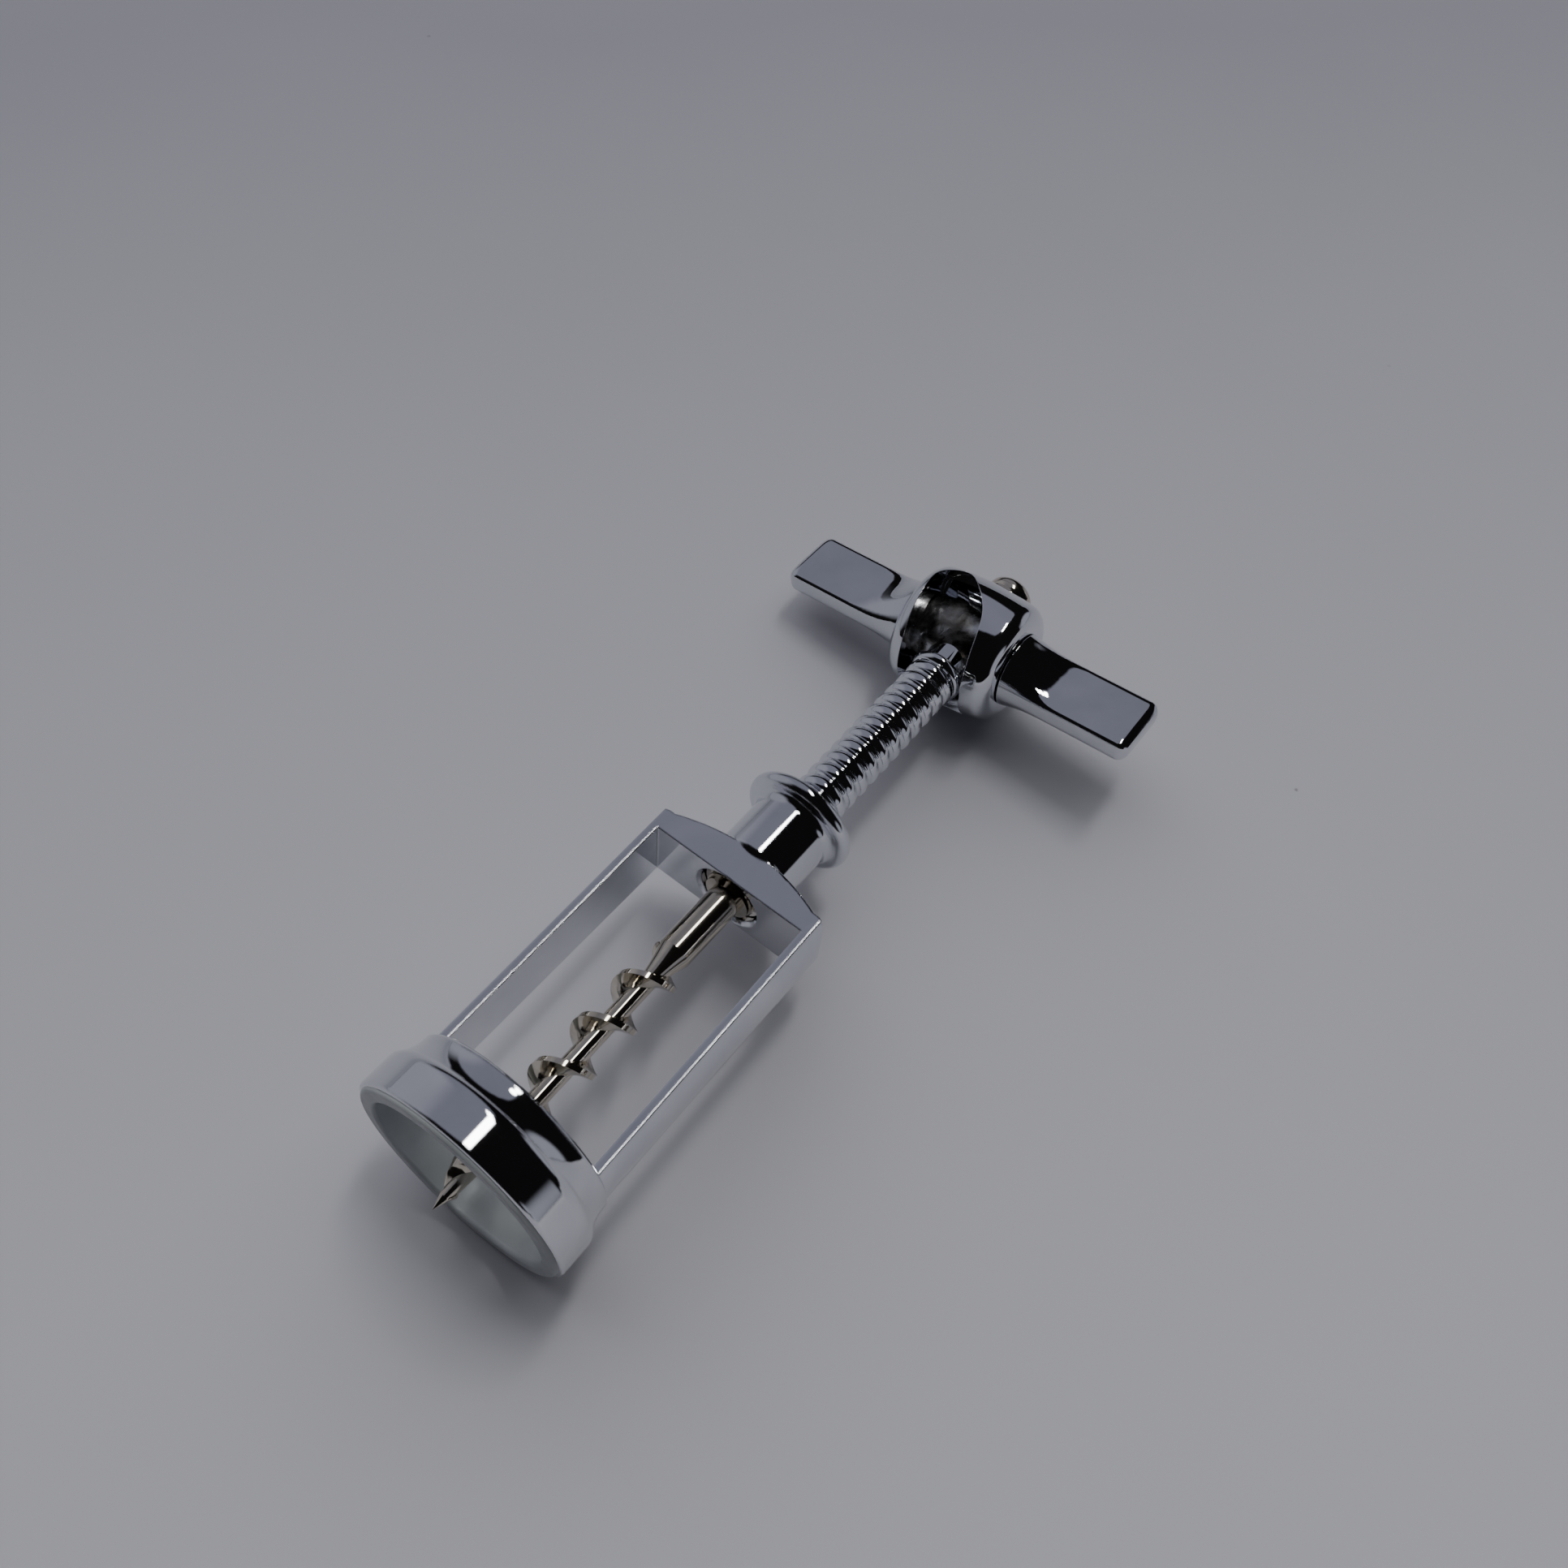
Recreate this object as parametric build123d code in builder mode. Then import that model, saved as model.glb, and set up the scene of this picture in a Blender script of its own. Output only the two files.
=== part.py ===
"""Bell corkscrew with a T handle, built as separate pieces.

It lies on the edge of its bell. The tool axis runs along Y from the bell's mouth to the handle,
+X points along the right wing and +Z is up. The origin is under the middle of the whole tool, on
the plane that the bell rests on. Everything is in millimetres, and a place along the tool axis
is counted from the plane of the bell's metal edge.
"""

from math import copysign, cos, radians, sin
import os

from build123d import *

os.makedirs("parts", exist_ok=True)

# --- Driving dimensions ---------------------------------------------------------------------

# bell
bell_r = 20.0
bell_band_end = 5.6
bell_crease_r = 19.2
bell_crease_at = 7.4
bell_rim_r = 18.1
bell_end = 12.0
bell_bore_r = 17.5
bell_neck_r = 16.0

# plastic insert in the bell
insert_lip_r = 19.3
insert_lip_height = 0.6
insert_mouth_r = 16.3
insert_seat_r = 15.2
insert_seat_at = 7.6

# window between the bars
window_half_width = 14.7
window_end = 61.1
bar_facet_x = 16.1
bar_outer_x = 17.7
bar_depth_bell = 5.5
bar_depth_top = 6.45
crosspiece_middle_end = 68.1
crosspiece_side_end = 64.6
corner_radius = 2.6
crosspiece_edge_radius = 0.7
bar_embed = 0.8

# barrel and its finger flange
barrel_r = 7.35
barrel_start = 67.8
flange_r = 10.35
flange_start = 79.3
flange_end = 82.4
barrel_bore_r = 5.8
barrel_lip_r = 5.35
barrel_lip_thickness = 1.2

# ringed column
column_r = 4.92
column_root_r = 4.1
ring_edge_r = 4.62
ring_pitch = 3.28
ring_crest_width = 2.05
ring_count = 17
column_start = 62.6
column_plain_length = 2.2
collar_r = 5.3
collar_length = 2.4
column_neck_r = 4.3
column_neck_length = 4.5

# worm and spindle
shank_r = 3.0
shank_clearance = 0.05
worm_core_r = 1.6
worm_flight_r = 4.25
worm_pitch = 9.4
worm_turned = 46.0
worm_tip = -5.2
worm_shoulder_start = 42.4
worm_shoulder_end = 47.9

# handle
hub_at = 132.0
hub_r = 12.2
hub_half_width = 10.9
hub_wall = 2.1
hub_core_r = 7.0
wing_root_r = 7.1
wing_tip = 37.1
wing_width = 13.1
wing_thickness = 4.7
wing_squareness = 6.0
stud_r = 2.0
handle_roll = 7.0
hub_bush_r = 4.4
mouth_direction = 50.0
wing_gap = 0.25
dome_r = 4.6
dome_height = 4.4
dome_side = 1.9
rear_washer_thickness = 0.8
spot_face_depth = 0.3

# --- Frames of reference --------------------------------------------------------------------

rear_face = hub_at + hub_r - spot_face_depth
dome_start = rear_face + rear_washer_thickness
tool_end = dome_start + dome_height
mouth_y = -(worm_tip + tool_end) / 2
axis_z = bell_r

# side_view: local x is the distance from the tool axis, local y the place along it
side_view = Plane(origin=(0, mouth_y, axis_z), x_dir=(1, 0, 0), z_dir=(0, 0, 1))
tool_axis = Axis((0, mouth_y, axis_z), (0, 1, 0))

# the handle is turned a little about the tool axis, right wing up
roll = radians(handle_roll)
hub_centre = Vector(0, mouth_y + hub_at, axis_z)
crossbar = Vector(cos(roll), 0, sin(roll))
handle_up = Vector(-sin(roll), 0, cos(roll))
crossbar_axis = Axis(hub_centre, crossbar)


def station(place):
    """Plane across the tool axis: local x is +X, local y is +Z, normal towards the mouth."""
    return Plane(origin=(0, mouth_y + place, axis_z), x_dir=(1, 0, 0), z_dir=(0, -1, 0))


def across_handle(distance):
    """Plane across the crossbar: local x runs along the tool axis, local y is up."""
    return Plane(origin=hub_centre + crossbar * distance, x_dir=(0, 1, 0), z_dir=crossbar)


def save(part, name):
    """Label one finished piece and write it as its own STEP file."""
    part.label = name
    export_step(part, f"parts/{name}.step")


def ring(name, inner_r, outer_r, start, thickness, gap_angle=0.0):
    """Flat ring about the tool axis; a gap_angle makes it a split ring, open upwards."""
    with BuildPart() as washer:
        with BuildSketch(station(start)):
            Circle(outer_r)
            Circle(inner_r, mode=Mode.SUBTRACT)
            if gap_angle:
                with BuildLine():
                    reach = 2 * outer_r
                    half = radians(gap_angle / 2)
                    Polyline(
                        (0, 0),
                        (-reach * sin(half), reach * cos(half)),
                        (reach * sin(half), reach * cos(half)),
                        close=True,
                    )
                make_face(mode=Mode.SUBTRACT)
        extrude(amount=-thickness)
    save(washer.part, name)


# --- Frame: bell, bars, crosspiece, barrel and flange in one casting ---------------------------

# crosspiece: straight underside, arched back, convex ends in line with the bars
with BuildPart() as crosspiece:
    with BuildSketch(side_view.offset(-bar_depth_top)):
        with BuildLine():
            Polyline(
                (-bar_outer_x, crosspiece_side_end - corner_radius),
                (-bar_outer_x, window_end),
                (bar_outer_x, window_end),
                (bar_outer_x, crosspiece_side_end - corner_radius),
            )
            for side in (-1, 1):
                ThreePointArc(
                    (side * bar_outer_x, crosspiece_side_end - corner_radius),
                    (side * (bar_outer_x - 0.7), crosspiece_side_end - 0.6),
                    (side * (bar_outer_x - corner_radius), crosspiece_side_end + 0.35),
                )
            ThreePointArc(
                (corner_radius - bar_outer_x, crosspiece_side_end + 0.35),
                (0, crosspiece_middle_end),
                (bar_outer_x - corner_radius, crosspiece_side_end + 0.35),
            )
        make_face()
    extrude(amount=2 * bar_depth_top)
    with BuildSketch(station(window_end)):
        with BuildLine():
            for side in (-1, 1):
                ThreePointArc(
                    (side * bar_facet_x, -bar_depth_top),
                    (side * bar_outer_x, 0),
                    (side * bar_facet_x, bar_depth_top),
                )
                Line(
                    (-bar_facet_x, side * bar_depth_top),
                    (bar_facet_x, side * bar_depth_top),
                )
        make_face()
    extrude(amount=window_end - crosspiece_middle_end, mode=Mode.INTERSECT)
    arched_edges = crosspiece.edges().filter_by(GeomType.CIRCLE).sort_by(Axis.Y)[-2:]
    fillet(arched_edges, crosspiece_edge_radius)

with BuildPart() as frame_casting:
    # bell: straight band, then a cove up to the narrower rim where the bars stand
    with BuildSketch(side_view):
        with BuildLine():
            band = Line((bell_r, 0.6), (bell_r, bell_band_end))
            shoulder = ThreePointArc(
                band @ 1,
                (bell_r - 0.2, (bell_band_end + bell_crease_at) / 2 + 0.1),
                (bell_crease_r, bell_crease_at),
            )
            cove = ThreePointArc(
                shoulder @ 1,
                (bell_rim_r + 0.2, (bell_crease_at + bell_end) / 2 - 0.1),
                (bell_rim_r, bell_end - 0.5),
            )
            rim = Line(cove @ 1, (bell_rim_r - 0.5, bell_end))
            Polyline(
                rim @ 1,
                (bell_neck_r, bell_end),
                (bell_neck_r, bell_end - 1.5),
                (bell_bore_r, bell_end - 1.5),
                (bell_bore_r, 0),
                (bell_r - 0.6, 0),
            )
            ThreePointArc((bell_r - 0.6, 0), (bell_r - 0.18, 0.18), band @ 0)
        make_face()
    revolve(axis=tool_axis)

    # bars: flat inside, narrow facets above and below, convex outside, a little deeper at the top
    for side in (-1, 1):
        for place, depth in (
            (bell_end - bar_embed, bar_depth_bell),
            (window_end, bar_depth_top),
        ):
            with BuildSketch(station(place)):
                with BuildLine():
                    Polyline(
                        (side * bar_facet_x, depth),
                        (side * window_half_width, depth),
                        (side * window_half_width, -depth),
                        (side * bar_facet_x, -depth),
                    )
                    ThreePointArc(
                        (side * bar_facet_x, -depth),
                        (side * bar_outer_x, 0),
                        (side * bar_facet_x, depth),
                    )
                make_face()
        loft()

    add(crosspiece.part)

    # barrel and flange, with a concave root and a rounded rim
    with BuildSketch(side_view):
        with BuildLine():
            Polyline(
                (0, barrel_start - 1.4),
                (barrel_r - 1.4, barrel_start - 1.4),
                (barrel_r, barrel_start),
                (barrel_r, flange_start - 1.6),
            )
            root = ThreePointArc(
                (barrel_r, flange_start - 1.6),
                (barrel_r + 0.5, flange_start - 0.45),
                (barrel_r + 1.6, flange_start),
            )
            Line(root @ 1, (flange_r - 1.2, flange_start))
            under_rim = ThreePointArc(
                (flange_r - 1.2, flange_start),
                (flange_r, (flange_start + flange_end) / 2 - 0.15),
                (flange_r - 1.4, flange_end - 0.25),
            )
            Line(under_rim @ 1, (flange_r - 2.6, flange_end))
            Polyline((flange_r - 2.6, flange_end), (0, flange_end), (0, barrel_start - 1.4))
        make_face()
    revolve(axis=tool_axis)

    # the bore for the column, with a lip that holds the bush from above
    with BuildSketch(side_view):
        with BuildLine():
            Polyline(
                (0, window_end - 1),
                (barrel_bore_r + 0.6, window_end - 1),
                (barrel_bore_r + 0.6, window_end),
                (barrel_bore_r, window_end + 0.6),
                (barrel_bore_r, flange_end - barrel_lip_thickness),
                (barrel_lip_r, flange_end - barrel_lip_thickness),
                (barrel_lip_r, flange_end - 0.4),
                (barrel_lip_r + 0.4, flange_end + 0.01),
                (0, flange_end + 0.01),
                close=True,
            )
        make_face()
    revolve(axis=tool_axis, mode=Mode.SUBTRACT)

save(frame_casting.part, "frame_casting")


# --- Frame: insert, bush, friction ring and circlip ---------------------------------------------

bush_length = 4.6
bush_end = flange_end - barrel_lip_thickness
bush_start = bush_end - bush_length
circlip_thickness = 0.9
friction_ring_r = 0.8
friction_ring_at = bush_start + bush_length / 2

with BuildPart() as bell_insert:
    with BuildSketch(side_view):
        with BuildLine():
            Polyline(
                (insert_lip_r, 0),
                (bell_bore_r, 0),
                (bell_bore_r, bell_end - 1.5),
                (insert_seat_r, bell_end - 1.5),
                (insert_seat_r, insert_seat_at + 0.5),
                (insert_seat_r + 0.4, insert_seat_at),
                (insert_mouth_r - 0.3, insert_seat_at),
                (insert_mouth_r, insert_seat_at - 1.4),
                (insert_mouth_r, 0.2),
            )
            inner_lip = ThreePointArc(
                (insert_mouth_r, 0.2),
                (insert_mouth_r + 0.2, -insert_lip_height + 0.2),
                (insert_mouth_r + 0.7, -insert_lip_height),
            )
            lip_face = Line(inner_lip @ 1, (insert_lip_r - 0.6, -insert_lip_height))
            ThreePointArc(
                lip_face @ 1,
                (insert_lip_r - 0.18, -insert_lip_height + 0.25),
                (insert_lip_r, 0),
            )
        make_face()
    revolve(axis=tool_axis)
save(bell_insert.part, "bell_insert")

with BuildPart() as guide_bush:
    with BuildSketch(side_view):
        with BuildLine():
            Polyline(
                (column_r + 0.06, bush_start + 0.5),
                (column_r + 0.56, bush_start),
                (barrel_bore_r, bush_start),
                (barrel_bore_r, bush_end),
                (column_r + 0.36, bush_end),
                (column_r + 0.06, bush_end - 0.3),
                close=True,
            )
        make_face()
    revolve(axis=tool_axis)
    # groove for the friction ring
    with BuildSketch(side_view):
        with Locations((column_r, friction_ring_at)):
            Rectangle(1.24, 2 * friction_ring_r + 0.1)
    revolve(axis=tool_axis, mode=Mode.SUBTRACT)
save(guide_bush.part, "guide_bush")

with BuildPart() as friction_ring:
    with BuildSketch(side_view):
        with Locations((column_r + 0.02 + 0.29, friction_ring_at)):
            Ellipse(0.29, friction_ring_r)
    revolve(axis=tool_axis)
save(friction_ring.part, "friction_ring")

ring("bush_circlip", column_r + 0.3, barrel_bore_r, bush_start - circlip_thickness, circlip_thickness, 40)

# --- Column: ringed sleeve and its stop ring ------------------------------------------------------

stop_ring_r = 5.6
stop_ring_thickness = 1.0
rings_start = column_start + column_plain_length
rings_end = rings_start + ring_count * ring_pitch
collar_end = rings_end + collar_length
column_end = collar_end + column_neck_length
column_bore_r = shank_r + shank_clearance

with BuildPart() as ring_column:
    root_width = ring_pitch - ring_crest_width
    with BuildSketch(side_view):
        with BuildLine():
            Polyline(
                (column_bore_r, column_start + 0.3),
                (column_bore_r + 0.3, column_start),
                (column_root_r, column_start),
                (column_root_r, column_start + column_plain_length - 0.7),
                (column_r, column_start + column_plain_length - 0.7),
                (column_r, rings_start - 0.2),
                (ring_edge_r, rings_start),
            )
            for turn in range(ring_count):
                start = rings_start + turn * ring_pitch
                flank_end = start + root_width
                ThreePointArc(
                    (ring_edge_r, start),
                    (column_root_r, start + root_width / 2),
                    (ring_edge_r, flank_end),
                )
                ThreePointArc(
                    (ring_edge_r, flank_end),
                    (column_r, flank_end + ring_crest_width / 2),
                    (ring_edge_r, start + ring_pitch),
                )
            Line((ring_edge_r, rings_end), (ring_edge_r, rings_end + 0.4))
            ThreePointArc(
                (ring_edge_r, rings_end + 0.4),
                (collar_r, rings_end + 0.4 + (collar_length - 0.4) / 2),
                (ring_edge_r, collar_end),
            )
            Polyline(
                (ring_edge_r, collar_end),
                (column_neck_r, collar_end),
                (column_neck_r, column_end),
                (column_bore_r, column_end),
                (column_bore_r, column_start + 0.3),
            )
        make_face()
    revolve(axis=tool_axis)
save(ring_column.part, "ring_column")

ring("stop_ring", column_root_r, stop_ring_r, column_start + 0.25, stop_ring_thickness, 70)

# --- Spindle: worm, shoulder, shank --------------------------------------------------------------

spindle_end = dome_start + 2.6
snap_ring_thickness = 0.8
shank_washer_thickness = 0.6
snap_ring_start = column_start - 0.1 - shank_washer_thickness - snap_ring_thickness
snap_groove_r = 2.6
point_r = 0.85
point_end = worm_tip + 2.4
taper_end = worm_tip + 9.5
flight_full_from = worm_tip + 12.0
pin_r = 1.0
worm_length = worm_shoulder_end - worm_tip
flight_root_half = 1.25
flight_edge_half = 0.45
flight_depth = 1.0
trim_r = worm_flight_r + 2

# the flight: a tapered blade wound round the core, longer than the worm at both ends
with BuildPart() as flight:
    with BuildLine() as flight_path:
        Helix(
            pitch=worm_pitch,
            height=worm_length,
            radius=worm_core_r,
            center=(0, mouth_y + worm_tip, axis_z),
            direction=(0, 1, 0),
        )
    start_point = flight_path.line @ 0
    outward = (start_point - Vector(0, mouth_y + worm_tip, axis_z)).normalized()
    with BuildSketch(Plane(origin=start_point, x_dir=outward, z_dir=flight_path.line % 0)):
        with BuildLine():
            Polyline(
                (-flight_depth, -flight_root_half),
                (worm_flight_r - worm_core_r + 0.3, -flight_edge_half),
                (worm_flight_r - worm_core_r + 0.3, flight_edge_half),
                (-flight_depth, flight_root_half),
                close=True,
            )
        make_face()
    sweep(is_frenet=True)


# what is ground off the flight: a point at one end, a run out into the shank at the other
with BuildPart() as worm_trim:
    with BuildSketch(side_view):
        with BuildLine():
            Polyline(
                (0, worm_shoulder_end),
                (0, worm_shoulder_end + 3),
                (trim_r, worm_shoulder_end + 3),
                (trim_r, worm_tip - 3),
                (0, worm_tip - 3),
                (0, worm_tip),
                (0.12, worm_tip + 0.3),
                (point_r, point_end),
            )
            ThreePointArc(
                (point_r, point_end),
                (worm_flight_r - 1.1, (point_end + flight_full_from) / 2 + 0.6),
                (worm_flight_r, flight_full_from),
            )
            Line((worm_flight_r, flight_full_from), (worm_flight_r, worm_shoulder_start))
            ThreePointArc(
                (worm_flight_r, worm_shoulder_start),
                (worm_flight_r - 0.35, (worm_shoulder_start + worm_shoulder_end) / 2),
                (shank_r, worm_shoulder_end),
            )
            Line((shank_r, worm_shoulder_end), (0, worm_shoulder_end))
        make_face()
    revolve(axis=tool_axis)

with BuildPart() as turned_rod:
    add(flight.part)
    add(worm_trim.part, mode=Mode.SUBTRACT)
    # core, shoulder, shank and the groove for the snap ring
    with BuildSketch(side_view):
        with BuildLine():
            Polyline(
                (0, worm_tip),
                (0.12, worm_tip + 0.3),
                (point_r, point_end),
                (worm_core_r, taper_end),
                (worm_core_r, worm_shoulder_start),
            )
            ThreePointArc(
                (worm_core_r, worm_shoulder_start),
                (worm_core_r + 0.6, (worm_shoulder_start + worm_shoulder_end) / 2),
                (shank_r, worm_shoulder_end),
            )
            Polyline(
                (shank_r, worm_shoulder_end),
                (shank_r, snap_ring_start),
                (snap_groove_r, snap_ring_start),
                (snap_groove_r, snap_ring_start + snap_ring_thickness),
                (shank_r, snap_ring_start + snap_ring_thickness),
                (shank_r, spindle_end - 0.3),
                (shank_r - 0.3, spindle_end),
                (0, spindle_end),
                (0, worm_tip),
            )
        make_face()
    revolve(axis=tool_axis)

with BuildPart() as worm_spindle:
    add(turned_rod.part.rotate(tool_axis, worm_turned))
    # cross hole for the pin that carries the handle's torque
    with BuildSketch(Plane(origin=hub_centre, x_dir=crossbar, z_dir=handle_up)):
        Circle(pin_r)
    extrude(amount=shank_r + 1, both=True, mode=Mode.SUBTRACT)
save(worm_spindle.part, "worm_spindle")

ring("shank_snap_ring", snap_groove_r, 4.3, snap_ring_start, snap_ring_thickness, 80)
ring(
    "shank_washer",
    shank_r + 0.02,
    4.6,
    snap_ring_start + snap_ring_thickness,
    shank_washer_thickness,
)

# --- Handle: hub shell, core, wings and their studs ------------------------------------------------

core_half_width = hub_half_width - 2.7
thrust_washer_thickness = 0.8
thrust_start = column_end + 0.1
core_front = thrust_start + thrust_washer_thickness
column_socket_r = column_neck_r + 0.06
along_crossbar = Plane(origin=hub_centre, x_dir=crossbar, z_dir=(0, -1, 0))

ring("thrust_washer", shank_r + 0.02, column_neck_r - 0.1, thrust_start, thrust_washer_thickness)

with BuildPart() as hub_shell:
    # crowned drum about the crossbar
    with BuildSketch(along_crossbar):
        with BuildLine():
            Polyline((-hub_half_width, hub_r - 3.4), (-hub_half_width, 0), (hub_half_width, 0))
            Line((hub_half_width, 0), (hub_half_width, hub_r - 3.4))
            for side in (-1, 1):
                ThreePointArc(
                    (side * hub_half_width, hub_r - 3.4),
                    (side * (hub_half_width - 0.85), hub_r - 1.55),
                    (side * (hub_half_width - 2.9), hub_r - 0.55),
                )
            ThreePointArc(
                (2.9 - hub_half_width, hub_r - 0.55),
                (0, hub_r),
                (hub_half_width - 2.9, hub_r - 0.55),
            )
        make_face()
    revolve(axis=crossbar_axis)
    # hollow inside
    with BuildSketch(along_crossbar):
        with BuildLine():
            Polyline(
                (-core_half_width, hub_r - hub_wall - 0.7),
                (-core_half_width, 0),
                (core_half_width, 0),
                (core_half_width, hub_r - hub_wall - 0.7),
            )
            ThreePointArc(
                (-core_half_width, hub_r - hub_wall - 0.7),
                (0, hub_r - hub_wall),
                (core_half_width, hub_r - hub_wall - 0.7),
            )
        make_face()
    revolve(axis=crossbar_axis, mode=Mode.SUBTRACT)
    # side holes for the wings' spigots
    with BuildSketch(across_handle(-hub_half_width - 1)):
        Circle(hub_bush_r)
    extrude(amount=2 * hub_half_width + 2, mode=Mode.SUBTRACT)
    # long mouth, seen square on from in front of and above the handle
    tilt = radians(mouth_direction)
    facing = Vector(0, -1, 0) * cos(tilt) + handle_up * sin(tilt)
    with BuildSketch(Plane(origin=hub_centre, x_dir=crossbar, z_dir=facing)):
        with BuildLine():
            Polyline((-8.5, 4.7), (-7.4, -5), (-7.4, -13.5), (6.0, -13.5), (6.0, -6.4))
            Spline(
                (6.0, -6.4),
                (5.4, 0),
                (3.6, 6.1),
                (-0.8, 10.2),
                (-5.5, 11.5),
                (-8.8, 9.2),
                (-8.5, 4.7),
                tangents=((0, 1), (0.12, -1)),
            )
        make_face()
    extrude(amount=hub_r + 2, mode=Mode.SUBTRACT)
    # round way in for the column
    with BuildSketch(station(hub_at)):
        Circle(collar_r + 0.9)
    extrude(amount=hub_r + 2, mode=Mode.SUBTRACT)
    # hole for the spindle and a flat seat for the rear washer
    with BuildSketch(station(hub_at)):
        Circle(shank_r)
    extrude(amount=-hub_r - 2, mode=Mode.SUBTRACT)
    with BuildSketch(station(rear_face)):
        Circle(dome_r + 0.5)
    extrude(amount=-3, mode=Mode.SUBTRACT)
save(hub_shell.part, "hub_shell")

with BuildPart() as hub_core:
    with BuildSketch(along_crossbar):
        with BuildLine():
            Polyline(
                (-core_half_width, hub_core_r - 0.9),
                (-core_half_width, 0),
                (core_half_width, 0),
                (core_half_width, hub_core_r - 0.9),
            )
            ThreePointArc(
                (-core_half_width, hub_core_r - 0.9),
                (0, hub_core_r),
                (core_half_width, hub_core_r - 0.9),
            )
        make_face()
    revolve(axis=crossbar_axis)
    # bore for the spindle, socket for the column's neck and the thrust washer
    with BuildSketch(station(hub_at - hub_r)):
        Circle(shank_r)
    extrude(amount=-2 * hub_r, mode=Mode.SUBTRACT)
    with BuildSketch(station(core_front)):
        Circle(column_socket_r)
    extrude(amount=hub_r, mode=Mode.SUBTRACT)
    # holes for the studs and the spindle pin
    with BuildSketch(across_handle(-hub_half_width)):
        Circle(stud_r)
    extrude(amount=2 * hub_half_width, mode=Mode.SUBTRACT)
    with BuildSketch(Plane(origin=hub_centre, x_dir=crossbar, z_dir=handle_up)):
        Circle(pin_r)
    extrude(amount=hub_core_r - 0.6, both=True, mode=Mode.SUBTRACT)
save(hub_core.part, "hub_core")

with BuildPart() as spindle_pin:
    with BuildSketch(Plane(origin=hub_centre, x_dir=crossbar, z_dir=handle_up)):
        Circle(pin_r)
    extrude(amount=hub_core_r - 0.8, both=True)
save(spindle_pin.part, "spindle_pin")

# wing sections: distance from the middle, width along the tool, thickness, squareness
# (a squareness of 2 is an ellipse, a high one nearly a rectangle with round corners)
blade_start = hub_half_width + 12.5
blade_end = wing_tip - 2.2
root_sections = (
    (hub_half_width + wing_gap, 2 * wing_root_r, 2 * wing_root_r, 2.0),
    (hub_half_width + 2.0, 2 * wing_root_r - 0.4, 2 * wing_root_r - 1.8, 2.1),
    (hub_half_width + 4.6, 2 * wing_root_r - 0.8, wing_thickness + 4.2, 2.6),
    (hub_half_width + 8.4, wing_width + 0.1, wing_thickness + 0.9, 4.2),
    (blade_start - 1, wing_width, wing_thickness, wing_squareness),
    (blade_start, wing_width, wing_thickness, wing_squareness),
)
end_sections = (
    (blade_end, wing_width, wing_thickness, wing_squareness),
    (blade_end + 0.7, wing_width - 0.1, wing_thickness - 0.12, wing_squareness),
    (blade_end + 1.5, wing_width - 0.9, wing_thickness - 0.8, wing_squareness),
    (blade_end + 2.05, wing_width - 2.2, wing_thickness - 2.0, wing_squareness - 1),
    (wing_tip, wing_width - 3.4, wing_thickness - 3.2, wing_squareness - 2),
)
stud_inner_end = 4.0
stud_outer_end = hub_half_width + 5.0
spigot_length = 2.5
section_points = 32


def squarish(width, thickness, squareness):
    """Points round a superellipse."""
    points = []
    for step in range(section_points):
        angle = radians(360 * (step + 0.5) / section_points)
        run, rise = cos(angle), sin(angle)
        points.append(
            (
                width / 2 * copysign(abs(run) ** (2 / squareness), run),
                thickness / 2 * copysign(abs(rise) ** (2 / squareness), rise),
            )
        )
    return points


def wing_section(side, distance, width, thickness, squareness):
    """Sketch of one section of a wing, across the crossbar."""
    with BuildSketch(across_handle(side * distance)) as section:
        with BuildLine():
            Spline(*squarish(width, thickness, squareness), periodic=True)
        make_face()
    return section.sketch


for name, side in (("left_wing", -1), ("right_wing", 1)):
    with BuildPart() as wing:
        loft(sections=[wing_section(side, *section) for section in root_sections])
        extrude(
            wing_section(side, blade_start, wing_width, wing_thickness, wing_squareness),
            amount=side * (blade_end - blade_start),
        )
        loft(sections=[wing_section(side, *section) for section in end_sections])
        # spigot in the hub's side and hole for the stud
        with BuildSketch(across_handle(side * (hub_half_width + wing_gap))):
            Circle(hub_bush_r)
        extrude(amount=-side * spigot_length)
        with BuildSketch(across_handle(0)):
            Circle(stud_r)
        extrude(amount=side * stud_outer_end, mode=Mode.SUBTRACT)
    save(wing.part, name)

    with BuildPart() as stud:
        with BuildSketch(across_handle(side * stud_inner_end)):
            Circle(stud_r)
        extrude(amount=side * (stud_outer_end - stud_inner_end))
    save(stud.part, f"{name}_stud")

ring("rear_washer", shank_r, dome_r + 0.2, rear_face, rear_washer_thickness)

with BuildPart() as dome_nut:
    with BuildSketch(side_view):
        with BuildLine():
            Polyline(
                (0, spindle_end),
                (shank_r, spindle_end),
                (shank_r, dome_start),
                (dome_r - 0.5, dome_start),
            )
            ThreePointArc(
                (dome_r - 0.5, dome_start),
                (dome_r - 0.1, dome_start + 0.9),
                (dome_r, dome_start + dome_side),
            )
            Bezier(
                (dome_r, dome_start + dome_side),
                (dome_r, tool_end - 0.9),
                (dome_r * 0.55, tool_end),
                (0, tool_end),
            )
            Line((0, tool_end), (0, spindle_end))
        make_face()
    revolve(axis=tool_axis)
save(dome_nut.part, "dome_nut")
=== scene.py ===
from math import asin, cos, radians

import bpy
from mathutils import Matrix, Vector


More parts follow.
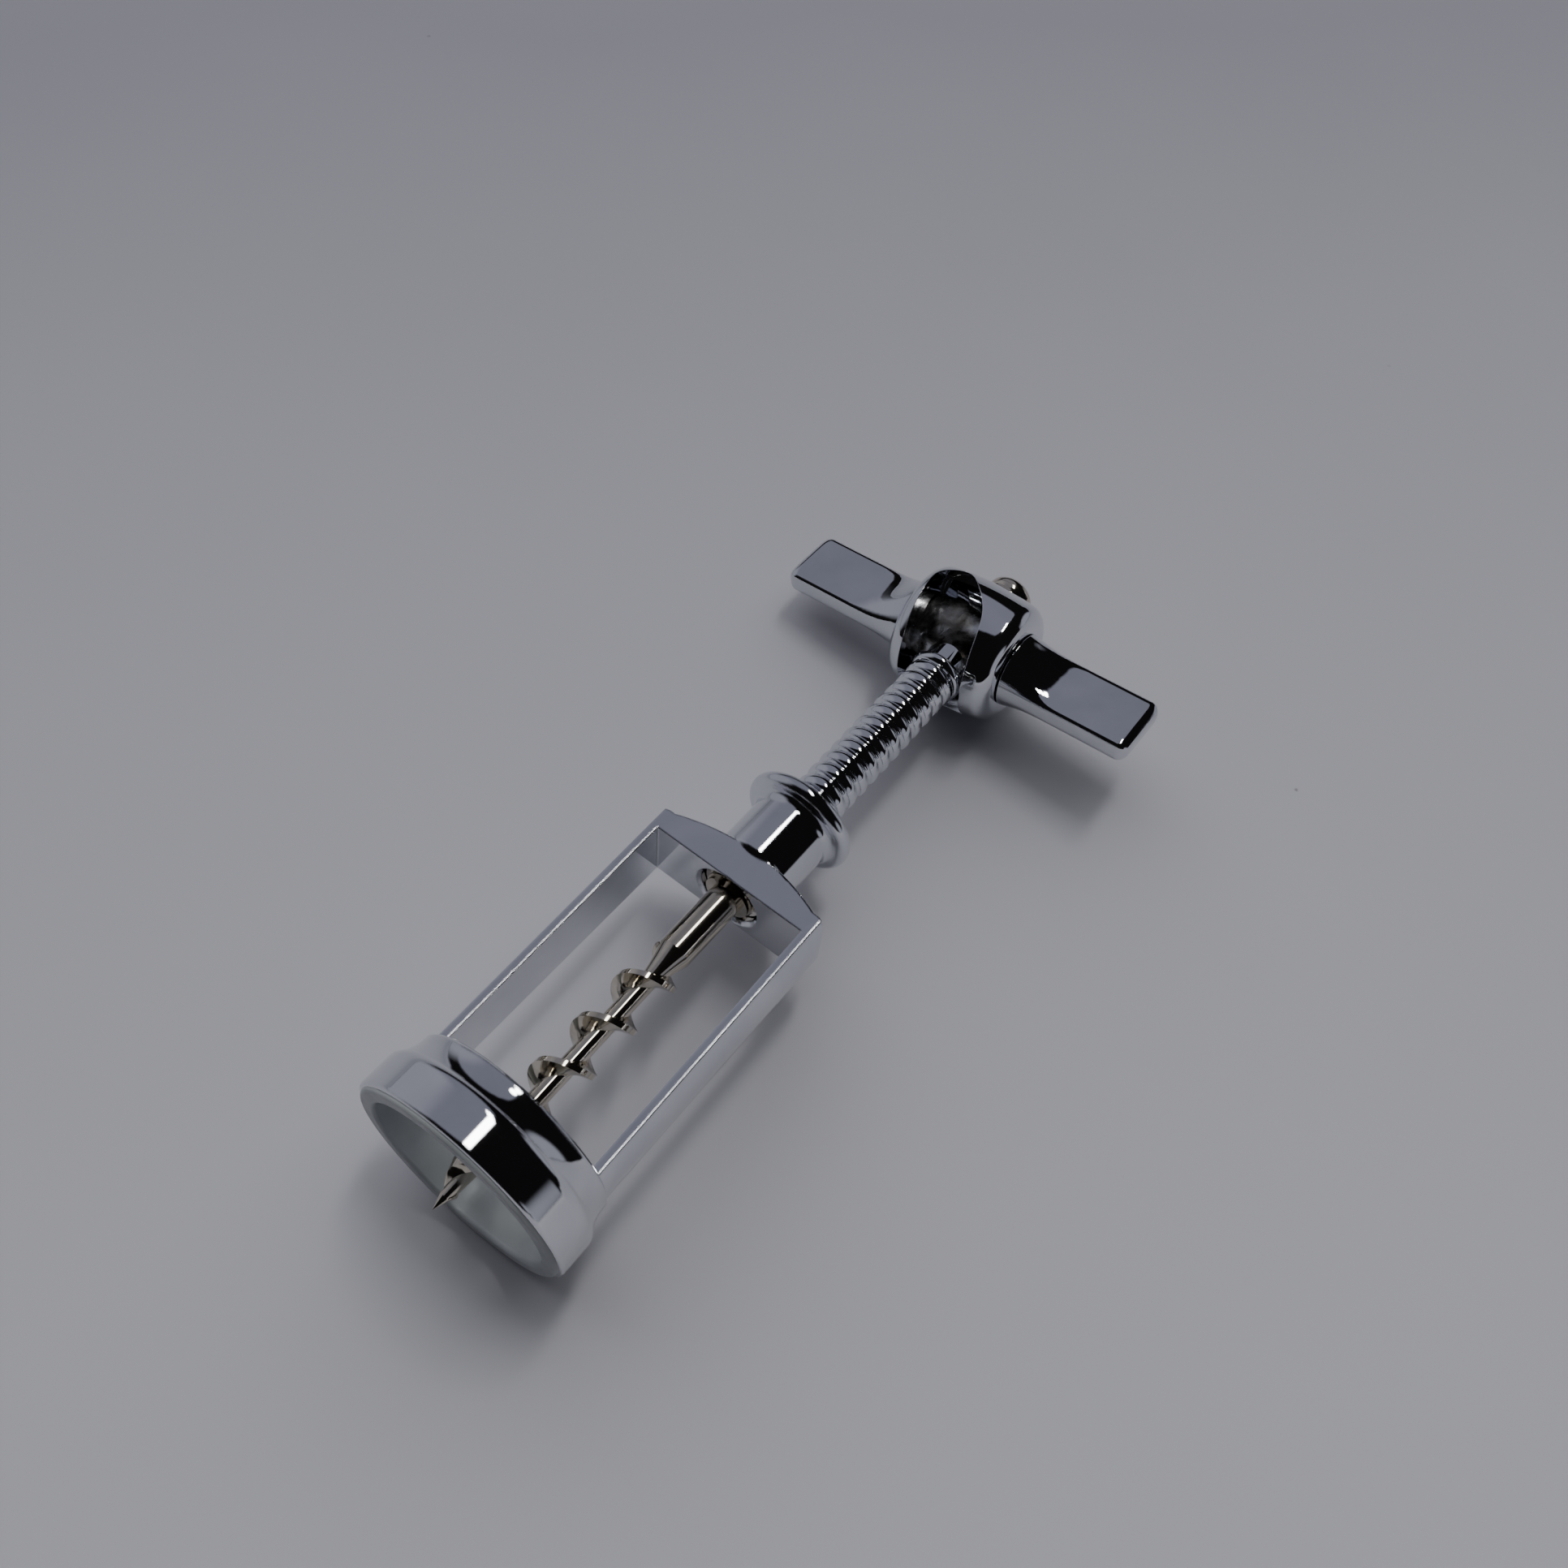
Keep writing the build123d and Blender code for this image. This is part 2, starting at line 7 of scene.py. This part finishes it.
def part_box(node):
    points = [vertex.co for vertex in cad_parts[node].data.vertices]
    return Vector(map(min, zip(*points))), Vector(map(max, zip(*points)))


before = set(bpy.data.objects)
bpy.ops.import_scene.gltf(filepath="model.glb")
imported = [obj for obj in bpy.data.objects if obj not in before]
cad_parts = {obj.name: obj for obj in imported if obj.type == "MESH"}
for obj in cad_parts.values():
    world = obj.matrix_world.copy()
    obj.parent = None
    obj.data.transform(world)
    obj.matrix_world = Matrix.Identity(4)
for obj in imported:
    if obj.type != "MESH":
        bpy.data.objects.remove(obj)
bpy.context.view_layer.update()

# --- Places, all from the frame, in metres --------------------------------------------------

casting_low, casting_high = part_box("frame_casting")
hub_low, hub_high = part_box("hub_shell")
mouth_y = casting_low.y                             # the bell's open end
axis_z = (casting_low.z + casting_high.z) / 2       # height of the tool's axis

# --- Camera ---------------------------------------------------------------------------------

sensor_mm = 36.0
lens_mm = 34.03
camera_place = Vector((0.06673, mouth_y - 0.03677, axis_z + 0.21193))
camera_right = Vector((0.7876, 0.6111, 0.0787))
camera_backward = Vector((0.2871, -0.4770, 0.8307))


def add_camera():
    """The photograph's viewing angle: from above the bell, to its right."""
    data = bpy.data.cameras.new("camera")
    camera = bpy.data.objects.new("camera", data)
    bpy.context.scene.collection.objects.link(camera)
    data.sensor_width = sensor_mm
    data.lens = lens_mm
    data.clip_start = 0.01
    right = camera_right.normalized()
    backward = (camera_backward - right * camera_backward.dot(right)).normalized()
    turn = Matrix((right, backward.cross(right), backward)).transposed().to_4x4()
    camera.matrix_world = Matrix.Translation(camera_place) @ turn
    bpy.context.scene.camera = camera


# --- Floor ----------------------------------------------------------------------------------

band_length = 0.0056      # the bell's widest band, from its open end
floor_half = 3.0
floor_gap = 0.0002        # keeps the floor clear of the band and the hub


def add_floor():
    """A pale surface, tilted so that the bell's band and the hub both rest on it."""
    band_end = mouth_y + band_length
    hub_middle = (hub_low.y + hub_high.y) / 2
    rise = asin(hub_low.z / (hub_middle - band_end))
    corners = [(-floor_half, -floor_half, 0), (floor_half, -floor_half, 0),
               (floor_half, floor_half, 0), (-floor_half, floor_half, 0)]
    mesh = bpy.data.meshes.new("floor")
    mesh.from_pydata(corners, [], [(0, 1, 2, 3)])
    board = bpy.data.objects.new("floor", mesh)
    bpy.context.scene.collection.objects.link(board)
    place = Matrix.Translation((0, band_end, -floor_gap))
    board.matrix_world = place @ Matrix.Rotation(rise, 4, "X")
    return board


add_camera()
floor = add_floor()

# --- Material helpers -----------------------------------------------------------------------


class Nodes:
    """Adds and links the shader nodes of one material."""

    def __init__(self, name):
        self.material = bpy.data.materials.new(name)
        self.material.use_nodes = True
        self.tree = self.material.node_tree
        self.shader = self.tree.nodes["Principled BSDF"]

    def plug(self, socket, value):
        """Link value into a socket if it is a socket too, or else set it there."""
        if isinstance(value, bpy.types.NodeSocket):
            self.tree.links.new(value, socket)
        else:
            socket.default_value = value

    def add(self, kind, inputs=None, **settings):
        node = self.tree.nodes.new(kind)
        for key, value in settings.items():
            setattr(node, key, value)
        for key, value in (inputs or {}).items():
            self.plug(node.inputs[key], value)
        return node

    def ramp(self, factor, stops):
        """Colour ramp of (position, value) stops, where a value is a tint or one number."""
        node = self.add("ShaderNodeValToRGB", {"Fac": factor})
        elements = node.color_ramp.elements
        while len(elements) < len(stops):
            elements.new(0.5)
        for element, (position, value) in zip(elements, stops):
            tint = value if isinstance(value, tuple) else (value, value, value)
            element.position = position
            element.color = (*tint, 1)
        return node.outputs["Color"]

    def calculate(self, operation, first, second):
        node = self.add("ShaderNodeMath", {0: first, 1: second}, operation=operation)
        return node.outputs["Value"]

    def grain(self, scale, detail=4.0, stretch=(1, 1, 1), distortion=0.0):
        """Noise in the piece's own coordinates; stretch above 1 shortens it that way."""
        place = self.add("ShaderNodeTexCoord").outputs["Object"]
        mapped = self.add("ShaderNodeMapping", {"Vector": place, "Scale": stretch})
        noise = self.add("ShaderNodeTexNoise", {
            "Vector": mapped.outputs["Vector"],
            "Scale": scale,
            "Detail": detail,
            "Distortion": distortion,
        })
        return noise.outputs["Fac"]

    def bump(self, height, strength, distance, under=None):
        """Surface detail of a given depth in metres, on top of what is under it."""
        inputs = {"Height": height, "Strength": strength, "Distance": distance}
        if under is not None:
            inputs["Normal"] = under
        return self.add("ShaderNodeBump", inputs).outputs["Normal"]

    def worn_edges(self):
        """1 at a sharp outer edge, 0 elsewhere."""
        pointiness = self.add("ShaderNodeNewGeometry").outputs["Pointiness"]
        return self.ramp(pointiness, [(0.53, 0.0), (0.60, 1.0)])

    def scratches(self, scale, stretch):
        """Sparse fine lines, 1 on a scratch."""
        lines = self.grain(scale, 2.0, stretch)
        return self.ramp(lines, [(0.0, 0.0), (0.66, 0.0), (0.72, 1.0)])

    def finish(self, **inputs):
        """Set the surface shader's inputs, with _ for a space, and give the material."""
        for key, value in inputs.items():
            self.plug(self.shader.inputs[key.replace("_", " ")], value)
        return self.material


# --- Materials ------------------------------------------------------------------------------

chrome_dark = (0.68, 0.69, 0.73)
chrome_light = (0.79, 0.80, 0.83)
chrome_peel = 1.4e-6      # depth of the plating's faint orange peel


def chrome(name, lines=(1, 12, 1), edge_radius=0.0002):
    """Bright plating: smudges, fine scratches along lines, dulled and rounded edges."""
    nodes = Nodes(name)
    smudge = nodes.grain(70, 6.0, distortion=0.8)
    fine = nodes.grain(900, 3.0)
    marks = nodes.scratches(260, lines)
    tone = nodes.ramp(smudge, [(0.3, chrome_dark), (0.7, chrome_light)])
    rough = nodes.ramp(smudge, [(0.45, 0.03), (0.75, 0.065)])
    rough = nodes.calculate("ADD", rough, nodes.calculate("MULTIPLY", marks, 0.05))
    worn = nodes.calculate("MULTIPLY", nodes.worn_edges(), 0.04)
    rough = nodes.calculate("ADD", rough, worn)
    rounded = nodes.add("ShaderNodeBevel", {"Radius": edge_radius}, samples=6)
    skin = nodes.bump(nodes.grain(260, 2.0), 1.0, chrome_peel, rounded.outputs["Normal"])
    marked = nodes.calculate("ADD", fine, marks)
    relief = nodes.bump(marked, 0.5, chrome_peel / 10, skin)
    return nodes.finish(Metallic=1.0, Base_Color=tone, Roughness=rough, Normal=relief)


def ground_nickel(name, lines):
    """Warm plating over ground wire, streaked along the grinding."""
    nodes = Nodes(name)
    streaks = nodes.grain(330, 5.0, lines)
    cloud = nodes.grain(120, 4.0)
    mixed = nodes.calculate(
        "ADD",
        nodes.calculate("MULTIPLY", streaks, 0.6),
        nodes.calculate("MULTIPLY", cloud, 0.4),
    )
    tone = nodes.ramp(mixed, [(0.35, (0.50, 0.46, 0.38)), (0.65, (0.78, 0.73, 0.63))])
    rough = nodes.ramp(mixed, [(0.35, 0.15), (0.65, 0.07)])
    relief = nodes.bump(streaks, 0.6, 5e-6)
    relief = nodes.bump(nodes.grain(1500, 2.0), 0.4, 3e-6, relief)
    return nodes.finish(Metallic=1.0, Base_Color=tone, Roughness=rough, Normal=relief)


def cast_metal(name):
    """The unpolished casting inside the hub: lumpy, mottled bright and dark."""
    nodes = Nodes(name)
    lumps = nodes.grain(420, 6.0, distortion=0.6)
    core_mottle = nodes.grain(150, 4.0, distortion=1.5)
    # Tone mottled at random from very dark to bright over the whole core.
    tone = nodes.ramp(core_mottle, [
        (0.38, (0.10, 0.09, 0.075)),
        (0.52, (0.34, 0.335, 0.32)),
        (0.66, (0.72, 0.73, 0.75)),
    ])
    rough = nodes.ramp(lumps, [(0.3, 0.42), (0.7, 0.16)])
    relief = nodes.bump(lumps, 1.0, 9e-5)
    return nodes.finish(Metallic=1.0, Base_Color=tone, Roughness=rough, Normal=relief)


def frosted_plastic(name):
    """Milky moulded plastic that lets some light through."""
    nodes = Nodes(name)
    cloud = nodes.grain(90, 3.0)
    fine = nodes.grain(2200, 2.0)
    tone = nodes.ramp(cloud, [(0.35, (0.60, 0.64, 0.66)), (0.65, (0.74, 0.78, 0.80))])
    return nodes.finish(
        Base_Color=tone,
        Roughness=nodes.ramp(nodes.grain(300, 3.0), [(0.35, 0.30), (0.7, 0.44)]),
        Normal=nodes.bump(fine, 0.5, 1.2e-5),
        IOR=1.49,
        Transmission_Weight=0.45,
    )


def dull_polymer(name, dark, light, rough_low, rough_high, depth):
    """Moulded plastic or rubber with a fine matt skin and dusty patches."""
    nodes = Nodes(name)
    dust = nodes.grain(160, 5.0, distortion=0.5)
    skin = nodes.grain(2600, 3.0)
    return nodes.finish(
        Base_Color=nodes.ramp(dust, [(0.35, dark), (0.7, light)]),
        Roughness=nodes.ramp(dust, [(0.35, rough_low), (0.7, rough_high)]),
        Normal=nodes.bump(skin, 0.8, depth),
        IOR=1.5,
    )


board_dark = (0.26, 0.26, 0.302)
board_light = (0.69, 0.69, 0.735)
board_level = 0.46        # between dark and light, where the tilted board's middle lies
painted_shade_slope_x = 1.1       # painted shade: change of that level in each metre
painted_shade_slope_y = -1.2
speck_tint = (0.07, 0.06, 0.06, 1)


def pale_surface(name):
    """Matt white board with painted shade, a little darker away from the light, and a few
    specks.
    """
    nodes = Nodes(name)
    place = nodes.add("ShaderNodeTexCoord").outputs["Object"]
    split = nodes.add("ShaderNodeSeparateXYZ", {"Vector": place})
    # Painted shade: the colour darkens in a straight slope across the board, as the light
    # falls off away from the lamp.
    across = nodes.calculate("MULTIPLY", split.outputs["X"], painted_shade_slope_x)
    along = nodes.calculate("MULTIPLY", split.outputs["Y"], painted_shade_slope_y)
    slope = nodes.calculate("ADD", across, along)
    cloud = nodes.calculate("MULTIPLY", nodes.grain(9, 4.0), 0.08)
    shade = nodes.calculate("ADD", nodes.calculate("ADD", slope, cloud), board_level)
    tone = nodes.ramp(shade, [(0.0, board_dark), (1.0, board_light)])

    specks = nodes.add(
        "ShaderNodeTexVoronoi", {"Vector": place, "Scale": 42.0, "Randomness": 1.0}
    )
    dot = nodes.ramp(specks.outputs["Distance"], [(0.0, 1.0), (0.016, 1.0), (0.026, 0.0)])
    kept = nodes.ramp(nodes.grain(31, 2.0), [(0.55, 0.0), (0.6, 1.0)])
    mixed = nodes.add(
        "ShaderNodeMix",
        {"Factor": nodes.calculate("MULTIPLY", dot, kept), "A": tone, "B": speck_tint},
        data_type="RGBA",
    )
    return nodes.finish(
        Base_Color=mixed.outputs["Result"],
        Normal=nodes.bump(nodes.grain(1400, 3.0), 0.4, 1e-5),
        Roughness=0.62,
    )


floor.data.materials.append(pale_surface("pale_surface"))

across_tool = (1, 12, 1)
along_tool = (1, 0.12, 1)
along_wings = (0.2, 8, 1)
materials = {
    "chrome_casting": chrome("chrome_casting", edge_radius=0.0006),
    "chrome_column": chrome("chrome_column", across_tool, edge_radius=0.0001),
    "chrome_hub": chrome("chrome_hub"),
    "chrome_wings": chrome("chrome_wings", along_wings),
    "cast_core": cast_metal("cast_core"),
    "nickel_worm": ground_nickel("nickel_worm", along_tool),
    "nickel_head": ground_nickel("nickel_head", across_tool),
    "spring_steel": ground_nickel("spring_steel", (1, 1, 1)),
    "frosted_plastic": frosted_plastic("frosted_plastic"),
    "bush_plastic": dull_polymer(
        "bush_plastic", (0.035, 0.035, 0.04), (0.09, 0.09, 0.1), 0.42, 0.6, 8e-6
    ),
    "black_rubber": dull_polymer(
        "black_rubber", (0.012, 0.012, 0.013), (0.04, 0.04, 0.042), 0.6, 0.8, 1.5e-5
    ),
}
finishes = {
    "frame_casting": "chrome_casting",
    "bell_insert": "frosted_plastic",
    "guide_bush": "bush_plastic",
    "friction_ring": "black_rubber",
    "bush_circlip": "spring_steel",
    "ring_column": "chrome_column",
    "stop_ring": "spring_steel",
    "worm_spindle": "nickel_worm",
    "shank_washer": "spring_steel",
    "shank_snap_ring": "spring_steel",
    "thrust_washer": "spring_steel",
    "spindle_pin": "spring_steel",
    "hub_shell": "chrome_hub",
    "hub_core": "cast_core",
    "left_wing": "chrome_wings",
    "right_wing": "chrome_wings",
    "left_wing_stud": "spring_steel",
    "right_wing_stud": "spring_steel",
    "rear_washer": "nickel_head",
    "dome_nut": "nickel_head",
}
for piece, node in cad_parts.items():
    node.data.materials.clear()
    node.data.materials.append(materials[finishes[piece]])

# --- Light ----------------------------------------------------------------------------------

lamp_towards = (-0.35, 0.50, 0.79)
lamp_distance = 1.4
lamp_size = 3.0
lamp_watts = 25.0

room_tone = (0.006, 0.0055, 0.006)
ceiling_tone = (0.20, 0.204, 0.25)
wall_tone = (0.30, 0.305, 0.35)
lamp_white = (16.0, 15.8, 15.5)
room_patches = (          # direction, inner and outer half angle in degrees, tint
    ((-0.55, 0.35, 0.76), 34, 37, ceiling_tone),
    ((0.98, -0.05, 0.12), 12, 20, wall_tone),
    ((0.50, 0.86, 0.08), 14, 22, wall_tone),
    ((-0.95, -0.10, 0.25), 25, 45, wall_tone),
    ((0.04, 0.20, 0.98), 3.0, 4.5, lamp_white),
    ((0.00, 0.31, 0.95), 3.0, 4.5, lamp_white),
    ((-0.05, 0.42, 0.90), 3.0, 4.5, lamp_white),
)


def add_soft_box():
    """Large soft lamp that shades the floor and isn't mirrored in the chrome."""
    data = bpy.data.lights.new("soft_box", "AREA")
    data.shape = "DISK"
    data.size = lamp_size
    data.energy = lamp_watts
    lamp = bpy.data.objects.new("soft_box", data)
    bpy.context.scene.collection.objects.link(lamp)
    towards = Vector(lamp_towards).normalized()
    lamp.location = towards * lamp_distance
    lamp.rotation_euler = towards.to_track_quat("Z", "Y").to_euler()
    lamp.visible_glossy = False


def add_room():
    """The dark room that the chrome mirrors, with a grey ceiling, pale walls and lamps."""
    world = bpy.data.worlds.new("room")
    bpy.context.scene.world = world
    world.use_nodes = True
    tree = world.node_tree
    look = tree.nodes.new("ShaderNodeTexCoord").outputs["Generated"]
    below = None
    for direction, inner, outer, tint in room_patches:
        # How far the look lies within this round patch, from 0 outside it to 1 inside.
        dot = tree.nodes.new("ShaderNodeVectorMath")
        dot.operation = "DOT_PRODUCT"
        dot.inputs[1].default_value = Vector(direction).normalized()
        tree.links.new(look, dot.inputs[0])
        edge = tree.nodes.new("ShaderNodeMapRange")
        edge.interpolation_type = "SMOOTHSTEP"
        edge.inputs["From Min"].default_value = cos(radians(outer))
        edge.inputs["From Max"].default_value = cos(radians(inner))
        tree.links.new(dot.outputs["Value"], edge.inputs["Value"])
        # The patch's tint over everything before it, which starts as the bare room.
        mix = tree.nodes.new("ShaderNodeMix")
        mix.data_type = "RGBA"
        if below is None:
            mix.inputs["A"].default_value = (*room_tone, 1)
        else:
            tree.links.new(below, mix.inputs["A"])
        mix.inputs["B"].default_value = (*tint, 1)
        tree.links.new(edge.outputs["Result"], mix.inputs["Factor"])
        below = mix.outputs["Result"]
    tree.links.new(below, tree.nodes["Background"].inputs["Color"])


add_soft_box()
add_room()
